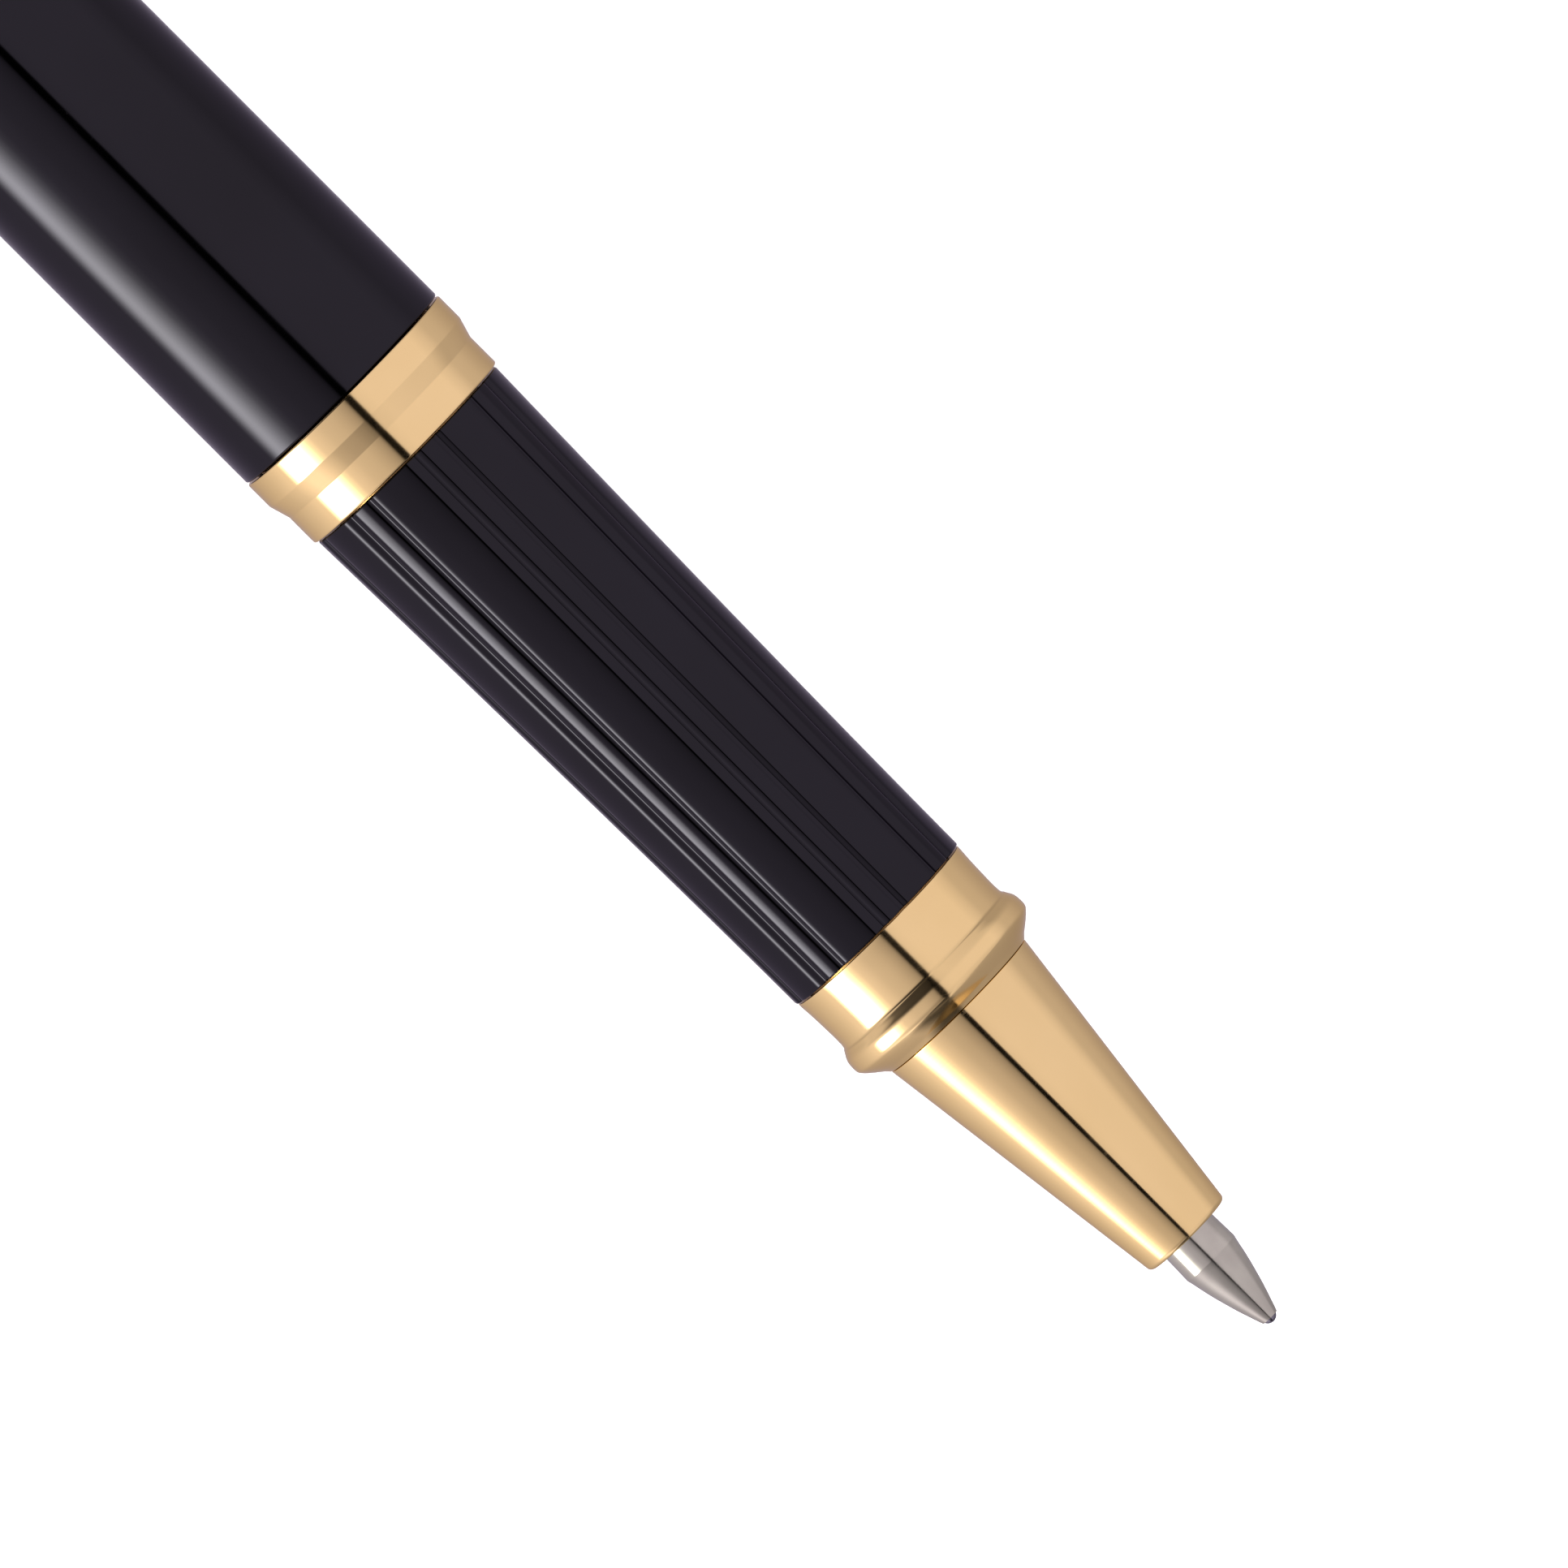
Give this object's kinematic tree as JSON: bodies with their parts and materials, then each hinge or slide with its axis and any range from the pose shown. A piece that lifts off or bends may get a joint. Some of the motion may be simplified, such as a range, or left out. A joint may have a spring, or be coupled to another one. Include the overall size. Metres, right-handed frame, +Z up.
{
  "type": "rollerball pen",
  "caption": "Capped rollerball pen with its cap pushed on the tail: screw-on section with grooved grip, plated trim, refill and spring, clip on the cap.",
  "frame": {"origin": "on the surface the pen lies on, under the middle of its whole length (lowest plane of the bounding box)", "axes": "+X along the pen towards its writing tip, +Z up through the cap's clip, +Y completes the right-handed frame"},
  "size_m": [0.1522, 0.012, 0.0144],
  "materials": {
    "gold_plate": "polished gold plate on brass",
    "black_lacquer": "high gloss black lacquer on brass",
    "grip_lacquer": "gloss black lacquer with fine grooves",
    "brass": "machined",
    "tip_steel": "fine turned",
    "ball_carbide": "polished",
    "refill_plastic": "translucent satin",
    "black_plastic": "moulded satin",
    "ink_fibre": "fibre soaked with ink",
    "spring_steel": "drawn wire"
  },
  "bodies": {
    "barrel": {"barrel_tube": "black_lacquer", "barrel_thread_bush": "brass", "refill_spring": "spring_steel", "spring_seat": "black_plastic", "tail_plug": "gold_plate"},
    "refill": {"refill_tip": "tip_steel", "refill_nose": "black_plastic", "refill_tube": "refill_plastic", "refill_ink_reservoir": "ink_fibre", "refill_feed_rod": "ink_fibre", "refill_end_plug": "black_plastic"},
    "ball": {"refill_ball": "ball_carbide"},
    "section": {"section_core": "brass", "joint_ring": "gold_plate", "section_grip": "grip_lacquer", "nose_collar": "gold_plate", "nose_cone": "gold_plate"},
    "cap": {"cap_tube": "black_lacquer", "cap_lip_ring": "gold_plate", "cap_liner": "black_plastic", "cap_plug": "brass", "clip_ring": "gold_plate", "crown": "gold_plate", "crown_disc": "black_lacquer", "crown_stud": "tip_steel"},
    "clip": {"clip": "gold_plate"}
  },
  "joints": [
    {"name": "refill_advance", "type": "slide", "parent": "barrel", "child": "refill", "axis": [1, 0, 0], "range_m": [0, 0.004], "deforming": ["refill_spring"]},
    {"name": "section_screw", "type": "hinge", "parent": "refill", "child": "section", "pos_m": [0.02365, 0, 0.00604], "axis": [1, 0, 0], "range_deg": [0, 1800]},
    {"name": "ball_roll", "type": "hinge", "parent": "refill", "child": "ball", "pos_m": [0.07576, 0, 0.00604], "axis": [0, 1, 0], "continuous": true},
    {"name": "cap_pull", "type": "slide", "parent": "barrel", "child": "cap", "axis": [-1, 0, 0], "range_m": [0, 0.04]},
    {"name": "clip_flex", "type": "hinge", "parent": "cap", "child": "clip", "pos_m": [-0.07161, 0, 0.0126], "axis": [0, -1, 0], "range_deg": [0, 5], "stiffness_Nm_per_rad": 3.7}
  ],
  "couplings": [
    {"joint": "refill_advance", "follows": "section_screw", "m_per_rad": 0.00012732}
  ]
}
